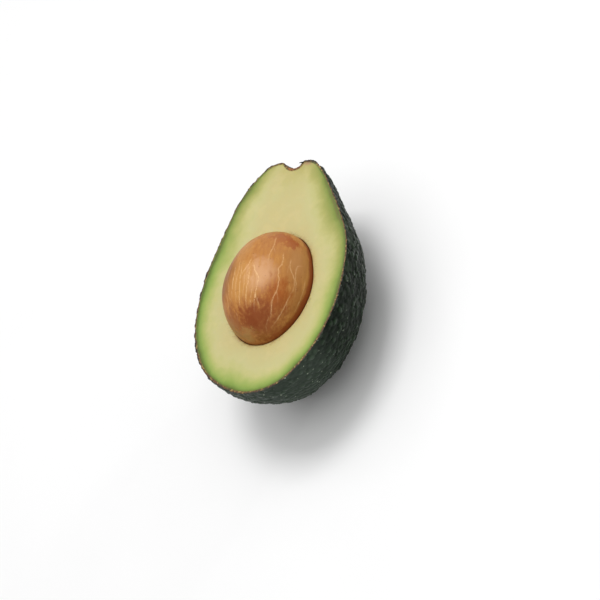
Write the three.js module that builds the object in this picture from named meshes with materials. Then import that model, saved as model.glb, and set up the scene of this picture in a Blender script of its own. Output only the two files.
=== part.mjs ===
// Half an avocado with its seed, lying on its back with the cut face up.
// Millimetres, +Z up, +Y along the fruit towards the stem end, +X across it.

import * as THREE from 'three';
import { mergeVertices } from 'three/addons/utils/BufferGeometryUtils.js';

// Outline of the cut face, as [x, y] from the fruit's axis and its blunt end.
// The two sides hold matching points, listed from the blunt end to the stem scar.
const BLUNT_END = [2.2, 0];
const RIGHT_SIDE = [
  [13.5, 2.8], [25.5, 14.5], [33.2, 31.0], [35.2, 47.0], [33.2, 61.5],
  [27.4, 76.5], [20.6, 88.8], [15.6, 95.6], [10.0, 101.9], [5.4, 103.2],
];
const LEFT_SIDE = [
  [-9.5, 2.8], [-24.3, 14.5], [-32.5, 31.0], [-34.6, 47.0], [-32.9, 62.0],
  [-28.4, 77.0], [-23.6, 91.0], [-18.5, 98.3], [-11.6, 104.3], [-5.2, 105.2],
];
const SCAR_FLOOR = [0.3, 101.6];

// The rounded back is a little deeper than half the fruit's width.
const BACK_BULGE = 1.11;

// Thickness of the skin at its pebbles' half height, and the gap between neighbouring pieces.
const SKIN_THICKNESS = 1.2;
const PIECE_GAP = 0.3;

// Pebbles of the skin: how far they rise from the creases between them, how much lower some are,
// how far they stray from even rows as a share of a triangle's edge, and the start of their draw.
const PEBBLE_HEIGHT = 0.9;
const PEBBLE_VARIATION = 0.4;
const PEBBLE_STRAY = 0.3;
const PEBBLE_SEED = 11;
const DRAWS_PER_POINT = 2;
const MOST_POINTS_PER_ROW = 500;

// Height of the rounded back that is pressed level, skin and flesh alike, to make a resting spot.
const REST_SPOT_HEIGHT = 1.3;

// Seed: its place in the cut face, its size, how it rises from the cut and how deep it sits.
const SEED_X = 1.4;
const SEED_Y = 45.5;
const SEED_WIDTH = 38.8;
const SEED_LENGTH = 48.0;
const SEED_LEAN = THREE.MathUtils.degToRad(3);
const SEED_RISE = 16.6;
const SEED_DEPTH = 18.6;
const SEED_GROOVES = 7;
const SEED_GROOVE_DEPTH = 0.3;

// Edge lengths of the nets of triangles.
const PEBBLED_EDGE = 2.2;
const LAYER_EDGE = 4.4;
const SEED_EDGE = 3.0;

// Rings of a smooth layer between two matching points of the fruit's outline.
const LAYER_RINGS = 4;

const SKIN_MATERIAL = new THREE.MeshStandardMaterial({ color: 0x2c3528, roughness: 0.42, metalness: 0 });
const FLESH_MATERIAL = new THREE.MeshStandardMaterial({ color: 0xd0cb8e, roughness: 0.55, metalness: 0 });
const SEED_MATERIAL = new THREE.MeshStandardMaterial({ color: 0xbd8350, roughness: 0.38, metalness: 0 });

// ---- Outlines in the cut plane -------------------------------------------------------------

// Closed smooth curve from the blunt end up the right side to the scar and down the left side.
function fruitOutline() {
  const corners = [BLUNT_END, ...RIGHT_SIDE, SCAR_FLOOR, ...[...LEFT_SIDE].reverse()];
  return new THREE.CatmullRomCurve3(corners.map(([x, y]) => new THREE.Vector3(x, y, 0)), true);
}

function seedOutline(clearance) {
  const halfWidth = SEED_WIDTH / 2 + clearance;
  const halfLength = SEED_LENGTH / 2 + clearance;
  const start = -Math.PI / 2;
  return new THREE.EllipseCurve(
    SEED_X, SEED_Y, halfWidth, halfLength, start, start + 2 * Math.PI, false, SEED_LEAN,
  );
}

// ---- Relief --------------------------------------------------------------------------------

// Repeatable draw between 0 and 1 for one point of a net.
function draw(row, column, channel) {
  const place = column + MOST_POINTS_PER_ROW * row;
  return THREE.MathUtils.seededRandom(PEBBLE_SEED + channel + DRAWS_PER_POINT * place);
}

// Every second point of every second row is the top of a pebble, and staggers with the next.
function isPebbleTop(row, column) {
  const stagger = row % 4 === 1 ? 1 : 0;
  return row % 2 === 1 && column % 2 === stagger;
}

// Pebbles stand half above and half below the skin's mean surface.
function pebbleHeight({ row, column }) {
  const crease = -PEBBLE_HEIGHT / 2;
  const rise = PEBBLE_HEIGHT * (1 - PEBBLE_VARIATION * draw(row, column, 0));
  return isPebbleTop(row, column) ? crease + rise : crease;
}

// Faint lengthwise grooves of the seed coat, which fade out at the cut's level and at both ends.
function grooveHeight({ along, angle }) {
  const fade = Math.sin(angle) * Math.sin(2 * Math.PI * along);
  return -SEED_GROOVE_DEPTH * fade * Math.cos(SEED_GROOVES * angle) ** 2;
}

const noRelief = () => 0;

// ---- Domes: a closed outline in the cut plane, bulged to one side ---------------------------

// Point of a dome. `along` runs from 0 at the blunt end to 0.5 at the stem end, and `angle` from 0
// at the right edge to PI at the left edge. `offset` moves the point outwards from the dome.
function domePoint(dome, along, angle, offset) {
  const right = dome.outline.getPoint(along);
  const left = dome.outline.getPoint(1 - along);
  const rightTangent = dome.outline.getTangent(along);
  const leftTangent = dome.outline.getTangent(1 - along);
  const halfX = (right.x - left.x) / 2;
  const halfY = (right.y - left.y) / 2;
  const point = new THREE.Vector3(
    (right.x + left.x) / 2 + halfX * Math.cos(angle),
    (right.y + left.y) / 2 + halfY * Math.cos(angle),
    dome.bulge * Math.hypot(halfX, halfY) * Math.sin(angle),
  );
  const share = (1 + Math.cos(angle)) / 2;
  const sideways = (rightTangent.y - leftTangent.y) / 2;
  const outward = new THREE.Vector3(
    sideways * Math.cos(angle),
    -rightTangent.x * share - leftTangent.x * (1 - share),
    sideways * Math.sin(angle) * Math.sign(dome.bulge),
  ).normalize();
  return point.addScaledVector(outward, offset);
}

// Rows of points across a dome, from its blunt end to its stem end, a single point at each end.
function domeRows(dome) {
  const last = dome.places.length - 1;
  return dome.places.map((place, row) => {
    const width = dome.outline.getPoint(place).distanceTo(dome.outline.getPoint(1 - place));
    const length = Math.PI * width * (1 + Math.abs(dome.bulge)) / 4;
    const columns = row === 0 || row === last ? 0 : Math.max(3, Math.round(length / dome.edge));
    const points = [];
    for (let column = 0; column <= columns; column += 1) {
      const onCut = column === 0 || column === columns;
      const strayed = column + (onCut ? 0 : dome.stray * (draw(row, column, 1) - 0.5));
      const angle = columns === 0 ? 0 : Math.PI * strayed / columns;
      const offset = dome.offset + dome.relief({ row, column, along: place, angle });
      const point = domePoint(dome, place, angle, offset);
      point.z = onCut ? 0 : Math.max(point.z, dome.floor);
      points.push(point);
    }
    return points;
  });
}

// Places along an outline from its blunt end to its stem end, evenly spaced on its right side.
function evenPlaces(outline, edge) {
  const lengths = outline.getLengths();
  const rightSide = lengths[(lengths.length - 1) / 2];
  const rings = Math.round(rightSide / edge);
  const places = [...Array(rings).keys()].map((i) => outline.getUtoTmapping(0, rightSide * i / rings));
  return [...places, 0.5];
}

// Places that crowd together where the outline's own points do.
function crowdedPlaces(rings) {
  return [...Array(rings + 1).keys()].map((i) => 0.5 * i / rings);
}

// ---- Nets of triangles ---------------------------------------------------------------------

class Net {
  constructor() {
    this.positions = [];
    this.triangles = [];
  }

  addRows(rows) {
    return rows.map((row) => row.map((point) => {
      this.positions.push(point.x, point.y, point.z);
      return this.positions.length / 3 - 1;
    }));
  }

  // Joins two lines of points with triangles, stepping along whichever line lags behind.
  // A line is a list of vertices and a list of their paces, which grow along the line.
  joinLines(near, far, turned) {
    let i = 0;
    let j = 0;
    while (i + 1 < near.vertices.length || j + 1 < far.vertices.length) {
      const nearPace = i + 1 < near.vertices.length ? near.paces[i] + near.paces[i + 1] : Infinity;
      const farPace = j + 1 < far.vertices.length ? far.paces[j] + far.paces[j + 1] : Infinity;
      const here = [far.vertices[j], near.vertices[i]];
      if (nearPace < farPace) i += 1;
      else j += 1;
      const corner = nearPace < farPace ? near.vertices[i] : far.vertices[j];
      this.triangles.push(...(turned ? here.reverse() : here), corner);
    }
  }

  // Covers a dome from row to row.
  coverRows(rows, turned) {
    const lines = rows.map((vertices) => ({
      vertices,
      paces: vertices.map((_, i) => i / (vertices.length - 1 || 1)),
    }));
    lines.slice(1).forEach((line, r) => this.joinLines(lines[r], line, turned));
  }

  // Fills the level cut face between an outer and an inner edge, paced by bearing from the seed.
  coverCut(outer, inner) {
    const line = (edge) => {
      const paces = edge.map((v) => {
        const [x, y] = this.positions.slice(3 * v, 3 * v + 2);
        return THREE.MathUtils.euclideanModulo(Math.atan2(x - SEED_X, SEED_Y - y), 2 * Math.PI);
      });
      return { vertices: [...edge, edge[0]], paces: [...paces, paces[0] + 2 * Math.PI] };
    };
    this.joinLines(line(outer), line(inner), false);
  }

  geometry() {
    const loose = new THREE.BufferGeometry();
    loose.setAttribute('position', new THREE.Float32BufferAttribute(this.positions, 3));
    loose.setIndex(this.triangles);
    const closed = mergeVertices(loose);
    closed.computeVertexNormals();
    return closed;
  }
}

// Edge of a dome in the cut plane: up the right side and back down the left side.
function cutEdge(rows) {
  const rightSide = rows.map((row) => row[0]);
  const leftSide = rows.slice(1, -1).map((row) => row[row.length - 1]);
  return [...rightSide, ...leftSide.reverse()];
}

// ---- The pieces ----------------------------------------------------------------------------

const fruit = { outline: fruitOutline(), bulge: -BACK_BULGE };
const widest = Math.max(...RIGHT_SIDE.map(([x], place) => x - LEFT_SIDE[place][0]));
const restLevel = REST_SPOT_HEIGHT - BACK_BULGE * widest / 2;

const pebbledDome = {
  ...fruit,
  offset: 0,
  relief: pebbleHeight,
  stray: PEBBLE_STRAY,
  floor: restLevel,
  edge: PEBBLED_EDGE,
  places: evenPlaces(fruit.outline, PEBBLED_EDGE),
};

function layerDome(depth) {
  return {
    ...fruit,
    offset: -depth,
    relief: noRelief,
    stray: 0,
    floor: restLevel + depth,
    edge: LAYER_EDGE,
    places: crowdedPlaces(LAYER_RINGS * (RIGHT_SIDE.length + 1)),
  };
}

// The skin is a thin bowl, open at the cut, where its edge shows as a narrow rim.
function makeSkin() {
  const net = new Net();
  const back = net.addRows(domeRows(pebbledDome));
  const inside = net.addRows(domeRows(layerDome(SKIN_THICKNESS)));
  net.coverRows(back, false);
  net.coverRows(inside, true);
  net.coverCut(cutEdge(back), cutEdge(inside));
  return new THREE.Mesh(net.geometry(), SKIN_MATERIAL);
}

// The flesh fills the skin up to the level cut, with a hollow that fits the seed.
function makeFlesh() {
  const net = new Net();
  const body = net.addRows(domeRows(layerDome(SKIN_THICKNESS + PIECE_GAP)));
  const hollow = net.addRows(domeRows(seedDome(-(SEED_DEPTH + PIECE_GAP), PIECE_GAP, noRelief)));
  net.coverRows(body, false);
  net.coverRows(hollow, true);
  net.coverCut(cutEdge(body), cutEdge(hollow));
  return new THREE.Mesh(net.geometry(), FLESH_MATERIAL);
}

// One side of the seed, or the hollow that it sits in. `height` is negative below the cut.
function seedDome(height, clearance, relief) {
  const outline = seedOutline(clearance);
  return {
    outline,
    bulge: height / (SEED_WIDTH / 2 + clearance),
    offset: 0,
    relief,
    stray: 0,
    floor: -Infinity,
    edge: SEED_EDGE,
    places: evenPlaces(outline, SEED_EDGE),
  };
}

// The seed is whole: one half stands out of the cut, the other sits in the hollow.
function makeSeed() {
  const net = new Net();
  net.coverRows(net.addRows(domeRows(seedDome(SEED_RISE, 0, grooveHeight))), true);
  net.coverRows(net.addRows(domeRows(seedDome(-SEED_DEPTH, 0, grooveHeight))), false);
  return new THREE.Mesh(net.geometry(), SEED_MATERIAL);
}

// ---- Assembly ------------------------------------------------------------------------------

const pieces = { skin: makeSkin(), flesh: makeFlesh(), seed: makeSeed() };
const avocado = new THREE.Group();
for (const [name, piece] of Object.entries(pieces)) {
  piece.name = name;
  avocado.add(piece);
}

// Stands the half on the ground, with the middle of its footprint on the origin.
const box = new THREE.Box3().setFromObject(avocado);
const middle = box.getCenter(new THREE.Vector3());
avocado.position.set(-middle.x, -middle.y, -box.min.z);

export default avocado;
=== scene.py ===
import math
import random

import bpy
import numpy as np
from mathutils import Matrix, Vector, kdtree, noise


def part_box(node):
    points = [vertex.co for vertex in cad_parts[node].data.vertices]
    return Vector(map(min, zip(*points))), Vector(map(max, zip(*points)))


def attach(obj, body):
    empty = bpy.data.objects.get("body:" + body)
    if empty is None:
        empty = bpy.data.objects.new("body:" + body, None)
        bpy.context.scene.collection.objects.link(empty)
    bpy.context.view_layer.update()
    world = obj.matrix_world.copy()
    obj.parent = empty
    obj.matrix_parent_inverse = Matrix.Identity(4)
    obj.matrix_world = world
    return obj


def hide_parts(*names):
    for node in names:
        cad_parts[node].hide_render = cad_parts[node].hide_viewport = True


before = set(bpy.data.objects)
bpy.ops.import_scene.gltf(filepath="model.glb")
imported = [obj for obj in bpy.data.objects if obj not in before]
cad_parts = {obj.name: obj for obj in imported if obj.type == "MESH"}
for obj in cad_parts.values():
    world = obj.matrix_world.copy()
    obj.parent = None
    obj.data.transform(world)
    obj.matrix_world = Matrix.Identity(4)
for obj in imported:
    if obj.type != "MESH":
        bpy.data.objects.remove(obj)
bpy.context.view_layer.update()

# ---- Skin -----------------------------------------------------------------------------------
# The tough peel of the half fruit, as it grew: a thin bowl, dark and pebbled outside, open at the cut.
# A fine net of triangles over the back is raised into pebbles, and a narrow rim shows where the knife
# went through. Sizes are in millimetres, from the fruit's axis and its blunt end, with Z from the cut.

MM = 0.001
BLUNT_END = (2.2, 0.0)
RIGHT_SIDE = (
    (14.0, 2.5), (26.2, 14.0), (33.5, 30.8), (35.2, 47.0), (33.8, 61.8),
    (27.5, 76.6), (20.7, 88.9), (16.2, 96.3), (11.0, 102.1), (5.6, 103.4), (3.5, 101.5),
)
LEFT_SIDE = (
    (-9.5, 2.8), (-24.7, 14.2), (-32.8, 30.8), (-34.6, 47.0), (-32.9, 62.0),
    (-28.7, 77.2), (-23.8, 91.2), (-18.6, 98.8), (-11.8, 104.7), (-5.0, 105.4), (-1.8, 102.3),
)
SCAR_FLOOR = (0.5, 101.1)
BACK_BULGE = 1.11
SKIN_THICKNESS = 1.2
REST_SPOT_HEIGHT = 1.3
SEED_X = 1.4
SEED_Y = 45.5

SKIN_EDGE = 0.42
SKIN_INSIDE_EDGE = 2.0
FINE_PLACES = 4001
# Pebbles: their spacing and height, how their net is warped, and how steep, domed and uneven they are.
PEBBLE_PITCH = 2.0
PEBBLE_LENGTHENING = 1.2
PEBBLE_HEIGHT = 0.95
PEBBLE_SEED = 7
PEBBLE_MEAN = 0.62
BROAD_WARP = 0.55
BROAD_WARP_PITCH = 3.1
NARROW_WARP = 0.25
NARROW_WARP_PITCH = 1.1
SHOULDER_WIDTH = 0.35
SHOULDER_SHARE = 0.45
CROWN_WIDTH = 0.8
CROWN_SHARE = 0.55
PEBBLE_UNEVENNESS = 0.4
CELL_STRIDE = 37.7
LUMP_PITCH = 9.0
LUMP_HEIGHT = 0.5
GRAIN_PITCH = 1.1
GRAIN_HEIGHT = 0.04
# Distances from the stem scar over which the pebbles rise to their full height, and what is left there.
CALM_REACH = (2.0, 9.0)
CALM_PEBBLES = 0.35
BACK_SCAR_REACH = (2.5, 6.0)
# A paler sheen, a painted reflection of the bright table, fades over these distances from the blunt end,
# with a ragged edge.
SHEEN_REACH = (8.0, 27.0)
SHEEN_RAGGEDNESS = 6
# Rim: loops across it, then the width of its brown band, which is widest at the blunt end and the neck.
RIM_DEPTHS = (0.25, 0.5, 0.75, 1.0, SKIN_THICKNESS)
RIM_LIFT = 0.02
RIM_BAND_BEARING = math.radians(2)
RIM_BAND_SPREAD = math.radians(60)
RIM_BAND_LEAST = 0.72
RIM_BAND_GAIN = 0.65
RIM_NECK_GAIN = 0.4
RIM_NECK_REACH = (6.0, 16.0)
RIM_SCAR_REACH = (1.5, 3.4)
RIM_SCAR_DEPTHS = (0.5, 1.1)
# A torn flake of peel beside the stem scar: its middle line and half thicknesses along it.
FLAKE_LINE = (
    (6.6, 102.3, -0.5), (5.4, 102.75, -0.2), (4.6, 102.85, 0.1), (3.9, 102.8, 0.3), (3.35, 102.7, 0.35),
)
FLAKE_HALVES = (0.5, 0.42, 0.32, 0.2, 0.06)
FLAKE_SIDES = 6
FLAKE_FLATNESS = 0.7

seed_low, seed_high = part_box("seed")
seed_middle = (seed_low + seed_high) / 2 / MM
cut_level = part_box("flesh")[1].z / MM
fruit_place = np.array([seed_middle.x - SEED_X, seed_middle.y - SEED_Y, cut_level])

widest = max(right[0] - left[0] for right, left in zip(RIGHT_SIDE, LEFT_SIDE))
rest_level = REST_SPOT_HEIGHT - BACK_BULGE * widest / 2


def fruit_outline(places):
    """Points and directions of the smooth closed outline of the cut, at places from 0 to 1."""
    corners = np.array([BLUNT_END, *RIGHT_SIDE, SCAR_FLOOR, *reversed(LEFT_SIDE)])
    spots = np.asarray(places) % 1 * len(corners)
    first = np.floor(spots).astype(int)
    step = (spots - first)[:, None]
    before, start, end, after = (corners[(first + k) % len(corners)] for k in (-1, 0, 1, 2))
    lead, middle, tail = (
        np.sqrt(np.linalg.norm(b - a, axis=1))[:, None]
        for a, b in ((before, start), (start, end), (end, after))
    )
    leaving = middle * ((start - before) / lead - (end - before) / (lead + middle)) + end - start
    arriving = middle * ((after - end) / tail - (after - start) / (middle + tail)) + end - start
    bend = 3 * (end - start) - 2 * leaving - arriving
    twist = leaving + arriving - 2 * (end - start)
    points = start + step * (leaving + step * (bend + step * twist))
    ways = leaving + step * (2 * bend + 3 * step * twist)
    return points, ways / np.linalg.norm(ways, axis=1)[:, None]


def even_places(outline, edge):
    """Places from the blunt end (0) to the stem end (0.5), evenly spaced along the right side."""
    fine = np.linspace(0, 0.5, FINE_PLACES)
    steps = np.linalg.norm(np.diff(outline(fine)[0], axis=0), axis=1)
    run = np.concatenate([[0], np.cumsum(steps)])
    return np.interp(np.linspace(0, run[-1], round(run[-1] / edge) + 1), run, fine)


def dome_points(outline, bulge, along, angle, offset):
    """Points of a dome over an outline: angle runs from 0 on its right edge to pi on its left edge."""
    right, right_way = outline(along)
    left, left_way = outline(1 - along)
    half = (right - left) / 2
    across, up = np.cos(angle), np.sin(angle)
    flat = (right + left) / 2 + half * across[:, None]
    points = np.column_stack([flat, bulge * np.linalg.norm(half, axis=1) * up])
    share = (1 + across) / 2
    sideways = (right_way[:, 1] - left_way[:, 1]) / 2
    endways = -right_way[:, 0] * share - left_way[:, 0] * (1 - share)
    outward = np.column_stack([sideways * across, endways, sideways * up * np.sign(bulge)])
    outward /= np.linalg.norm(outward, axis=1)[:, None]
    return points + outward * np.reshape(offset, (-1, 1))


def dome_grid(outline, bulge, places, edge):
    """Place along and angle of every point of a dome's rows, and how many points each row has."""
    widths = np.linalg.norm(outline(places)[0] - outline(1 - places)[0], axis=1)
    columns = np.maximum(3, np.round(np.pi * widths * (1 + abs(bulge)) / 4 / edge).astype(int))
    columns[widths < edge / 10] = 0
    along = np.repeat(places, columns + 1)
    angle = np.concatenate([np.linspace(0, np.pi, n + 1) if n else [0.0] for n in columns])
    return along, angle, columns + 1


class Net:
    """Triangles over lines of points. A line is a list of point numbers."""

    def __init__(self):
        self.points = []
        self.count = 0
        self.triangles = []

    def add(self, points, sizes=None):
        """Adds points, and returns their numbers as one line, or as lines of these sizes."""
        numbers = np.arange(self.count, self.count + len(points))
        self.points.append(points)
        self.count += len(points)
        return numbers if sizes is None else np.split(numbers, np.cumsum(sizes)[:-1])

    def join(self, near, far, near_pace, far_pace, turned):
        """Joins two lines, stepping along whichever lags behind in pace."""
        near, far = near.tolist(), far.tolist()
        near_next = (near_pace[:-1] + near_pace[1:]).tolist() + [math.inf]
        far_next = (far_pace[:-1] + far_pace[1:]).tolist() + [math.inf]
        i = j = 0
        while i + 1 < len(near) or j + 1 < len(far):
            if near_next[i] < far_next[j]:
                corners = (far[j], near[i], near[i + 1])
                i += 1
            else:
                corners = (far[j], near[i], far[j + 1])
                j += 1
            self.triangles.append(corners[::-1] if turned else corners)

    def cover(self, rows, turned):
        """Covers a dome from row to row."""
        for near, far in zip(rows, rows[1:]):
            paces = [np.linspace(0, 1, len(row)) if len(row) > 1 else np.zeros(1) for row in (near, far)]
            self.join(near, far, *paces, turned)

    def ring(self, line):
        """The same points in order of their bearing round the seed, and those bearings, both closed."""
        x, y = np.concatenate(self.points)[line, :2].T
        bearing = np.arctan2(x - SEED_X, SEED_Y - y) % (2 * np.pi)
        order = np.argsort(bearing)
        closed = np.append(order, order[0])
        return line[closed], np.append(bearing[order], bearing[order[0]] + 2 * np.pi)

    def bridge(self, outer, inner, turned):
        """Joins two closed loops round the seed, whatever their numbers of points."""
        (outer, outer_pace), (inner, inner_pace) = self.ring(outer), self.ring(inner)
        self.join(outer, inner, outer_pace, inner_pace, turned)


def row_ends(rows):
    """The points on the edge of a dome whose first and last rows are single points."""
    return np.concatenate([rows[0], *[row[[0, -1]] for row in rows[1:-1]], rows[-1]])


def inner_rows(along, angle, sizes):
    """A dome's grid without its edge: its end rows and each row's end points are left out."""
    ends = np.cumsum(sizes)
    keep = [np.arange(end - size + 1, end - 1) for end, size in zip(ends[1:-1], sizes[1:-1])]
    picked = np.concatenate(keep)
    return along[picked], angle[picked], [len(k) for k in keep]


def border(rows):
    """The points round the edge of rows that have no single points at their ends."""
    return np.unique(np.concatenate([rows[0], *[row[[0, -1]] for row in rows[1:-1]], rows[-1]]))


def build_piece(name, net, marks):
    """Makes the net's mesh in metres, in the part's frame, with a named number at each point."""
    points = (np.concatenate(net.points) + fruit_place) * MM
    mesh = bpy.data.meshes.new(name)
    mesh.from_pydata(points.tolist(), [], net.triangles)
    mesh.validate()
    mesh.polygons.foreach_set("use_smooth", [True] * len(mesh.polygons))
    for mark, values in marks.items():
        kind = "FLOAT_VECTOR" if values.ndim == 2 else "FLOAT"
        field = "vector" if values.ndim == 2 else "value"
        layer = mesh.attributes.new(mark, kind, "POINT")
        layer.data.foreach_set(field, values.astype(np.float32).ravel())
    piece = bpy.data.objects.new(name, mesh)
    bpy.context.scene.collection.objects.link(piece)
    return piece


def each_point(points, measure):
    """Measures every point, given as a vector, and returns the results as an array."""
    return np.array([measure(Vector(point)) for point in points])


def soft_step(values, low, high):
    """Rises smoothly from 0 at the low value to 1 at the high one."""
    share = np.clip((values - low) / (high - low), 0, 1)
    return share * share * (3 - 2 * share)


def hump(turn, middle, spread):
    """A smooth hump from 0 to 1 round a circle, highest at its middle."""
    return np.exp(2 * (np.cos(turn - middle) - 1) / spread**2)


def spread_over(counts, *values):
    """One number for each point: a part's own numbers, or the same number all over that part."""
    return np.concatenate([np.broadcast_to(value, count) for value, count in zip(values, counts)])


def pebble(spot):
    """Height from 0 in the creases to about 1 on a pebble, with its own height for each pebble."""
    spot = Vector((spot.x, spot.y / PEBBLE_LENGTHENING, spot.z))
    broad = BROAD_WARP * noise.noise_vector(spot / BROAD_WARP_PITCH)
    narrow = NARROW_WARP * noise.noise_vector(spot / NARROW_WARP_PITCH)
    spot += broad + narrow
    distances, centres = noise.voronoi(spot / PEBBLE_PITCH)
    shoulder = min((distances[1] - distances[0]) / SHOULDER_WIDTH, 1.0)
    crown = 1 - min(distances[0] / CROWN_WIDTH, 1.0) ** 2
    height = SHOULDER_SHARE * (1 - (1 - shoulder) ** 2) + CROWN_SHARE * crown
    return height * (1 - PEBBLE_UNEVENNESS * shoulder * (1 - noise.cell(centres[0] * CELL_STRIDE)))


skin = Net()
skin_places = even_places(fruit_outline, SKIN_EDGE)
along, angle, sizes = dome_grid(fruit_outline, BACK_BULGE, skin_places, SKIN_EDGE)
smooth_back = dome_points(fruit_outline, -BACK_BULGE, along, angle, 0)
scar_distance = np.linalg.norm(smooth_back - np.array([*SCAR_FLOOR, 0]), axis=1)
calm = soft_step(scar_distance, *CALM_REACH)
# Without a seed of its own, the noise that warps the pebbles would differ from run to run.
noise.seed_set(PEBBLE_SEED)
pebbles = each_point(smooth_back, pebble)
lumps = each_point(smooth_back / LUMP_PITCH, noise.noise)
grain = each_point(smooth_back / GRAIN_PITCH, noise.noise)
raised = (pebbles - PEBBLE_MEAN) * PEBBLE_HEIGHT * (CALM_PEBBLES + (1 - CALM_PEBBLES) * calm)
relief = raised + lumps * LUMP_HEIGHT + grain * GRAIN_HEIGHT
back_points = dome_points(fruit_outline, -BACK_BULGE, along, angle, relief)
back_points[:, 2] = np.clip(back_points[:, 2], rest_level, 0)
back_rows = skin.add(back_points, sizes)
skin.cover(back_rows, False)
skin_edge = row_ends(back_rows)
back_triangles = len(skin.triangles)

loop = skin_edge
rim_loops = []
for depth in RIM_DEPTHS:
    rim = dome_points(fruit_outline, -BACK_BULGE, along[skin_edge], angle[skin_edge], -depth)
    rim[:, 2] = RIM_LIFT if depth > RIM_DEPTHS[0] else 0
    rim_loops.append(rim)
    next_loop = skin.add(rim)
    skin.bridge(loop, next_loop, False)
    loop = next_loop

inside_places = even_places(fruit_outline, SKIN_INSIDE_EDGE)
inside_grid = inner_rows(*dome_grid(fruit_outline, BACK_BULGE, inside_places, SKIN_INSIDE_EDGE))
inside = dome_points(fruit_outline, -BACK_BULGE, *inside_grid[:2], -SKIN_THICKNESS)
inside[:, 2] = np.maximum(inside[:, 2], rest_level + SKIN_THICKNESS)
inside_rows = skin.add(inside, inside_grid[2])
skin.bridge(loop, border(inside_rows), False)
skin.cover(inside_rows, True)

flake_start = len(skin.triangles)
flake_rings = []
for (x, y, z), half in zip(FLAKE_LINE, FLAKE_HALVES):
    turns = np.arange(FLAKE_SIDES) * np.pi / (FLAKE_SIDES / 2)
    high = z + FLAKE_FLATNESS * half * np.sin(turns)
    ring = np.column_stack([np.full(FLAKE_SIDES, x), y + half * np.cos(turns), high])
    flake_rings.append(skin.add(ring))
for near, far in zip(flake_rings, flake_rings[1:]):
    for k in range(FLAKE_SIDES):
        skin.triangles.append((near[k], near[k - 1], far[k]))
        skin.triangles.append((near[k - 1], far[k - 1], far[k]))
for k in range(1, FLAKE_SIDES - 1):
    skin.triangles.append((flake_rings[0][0], flake_rings[0][k], flake_rings[0][k + 1]))
    skin.triangles.append((flake_rings[-1][0], flake_rings[-1][k + 1], flake_rings[-1][k]))

rim_points = np.concatenate(rim_loops)
rim_bearing = np.arctan2(rim_points[:, 0] - SEED_X, SEED_Y - rim_points[:, 1])
rim_scar_gap = np.linalg.norm(rim_points[:, :2] - np.array(SCAR_FLOOR), axis=1)
rim_pale = 1 - soft_step(rim_scar_gap, *RIM_NECK_REACH)
rim_width = RIM_BAND_LEAST + RIM_BAND_GAIN * hump(rim_bearing, RIM_BAND_BEARING, RIM_BAND_SPREAD)
rim_width += RIM_NECK_GAIN * rim_pale
rim_depth = np.repeat(np.array(RIM_DEPTHS) / SKIN_THICKNESS, len(skin_edge))
rim_scar = 1 - soft_step(rim_scar_gap, *RIM_SCAR_REACH)
rim_scar *= 1 - soft_step(rim_depth, *RIM_SCAR_DEPTHS)
back_scar = 1 - soft_step(scar_distance, *BACK_SCAR_REACH)
# Paler towards the blunt end, where a painted reflection of the bright table lies on the peel.
painted_sheen = 1 - soft_step(smooth_back[:, 1] + SHEEN_RAGGEDNESS * lumps, *SHEEN_REACH)
# The skin's points are those of its back, then its rim, then its inside and the flake.
skin_counts = (len(back_points), len(rim_points), skin.count - len(back_points) - len(rim_points))
marks = {
    "pebble": spread_over(skin_counts, pebbles, 0, 0),
    "painted_sheen": spread_over(skin_counts, painted_sheen, 0, 0),
    "scar": spread_over(skin_counts, back_scar, rim_scar, 0),
    "rim": spread_over(skin_counts, 0, rim_depth / rim_width, 1),
    "rim_pale": spread_over(skin_counts, 0, rim_pale, 0),
}
skin_piece = build_piece("avocado_skin", skin, marks)


def colour(code):
    """Linear colour of a usual six-digit code."""
    parts = [int(code[k : k + 2], 16) / 255 for k in (0, 2, 4)]
    return (*[p / 12.92 if p <= 0.04045 else ((p + 0.055) / 1.055) ** 2.4 for p in parts], 1.0)


def feed(tree, node, inputs):
    """Gives a node its inputs, which are values or other nodes' outputs."""
    for name, value in inputs.items():
        if isinstance(value, bpy.types.NodeSocket):
            tree.links.new(value, node.inputs[name])
        else:
            node.inputs[name].default_value = value


def add_node(tree, kind, inputs=None, **settings):
    """Adds a node with these settings and inputs."""
    node = tree.nodes.new("ShaderNode" + kind)
    for name, value in settings.items():
        setattr(node, name, value)
    feed(tree, node, inputs or {})
    return node


def ramp(tree, share, stops):
    """Colour that runs through these stops, each a place from 0 to 1 and a colour code."""
    node = add_node(tree, "ValToRGB", {"Fac": share})
    elements = node.color_ramp.elements
    while len(elements) < len(stops):
        elements.new(0.5)
    for element, (place, code) in zip(elements, stops):
        element.position = place
        element.color = colour(code)
    return node.outputs["Color"]


def mix(tree, share, first, second, blend="MIX"):
    """Colour between two colours, or the second laid over the first by a blend."""
    node = add_node(tree, "Mix", data_type="RGBA", blend_type=blend)
    for name, value in (("Factor_Float", share), ("A_Color", first), ("B_Color", second)):
        socket = next(s for s in node.inputs if s.identifier == name)
        if isinstance(value, bpy.types.NodeSocket):
            tree.links.new(value, socket)
        else:
            socket.default_value = colour(value) if isinstance(value, str) else value
    return next(s for s in node.outputs if s.identifier == "Result_Color")


def math_node(tree, operation, *values):
    """Result of one sum on numbers or other nodes' outputs."""
    node = add_node(tree, "Math", dict(enumerate(values)), operation=operation)
    return node.outputs[0]


def times(tree, first, second):
    """The product of two numbers or other nodes' outputs."""
    return math_node(tree, "MULTIPLY", first, second)


def fit(tree, value, low, high, new_low=0.0, new_high=1.0):
    """Value from low to high as new_low to new_high, eased at both ends."""
    inputs = {"Value": value, "From Min": low, "From Max": high, "To Min": new_low, "To Max": new_high}
    return add_node(tree, "MapRange", inputs, interpolation_type="SMOOTHSTEP").outputs["Result"]


def mark(tree, name, output="Fac"):
    """The number, or with "Vector" the place, that a piece's points carry under this name."""
    return add_node(tree, "Attribute", attribute_name=name).outputs[output]


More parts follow.
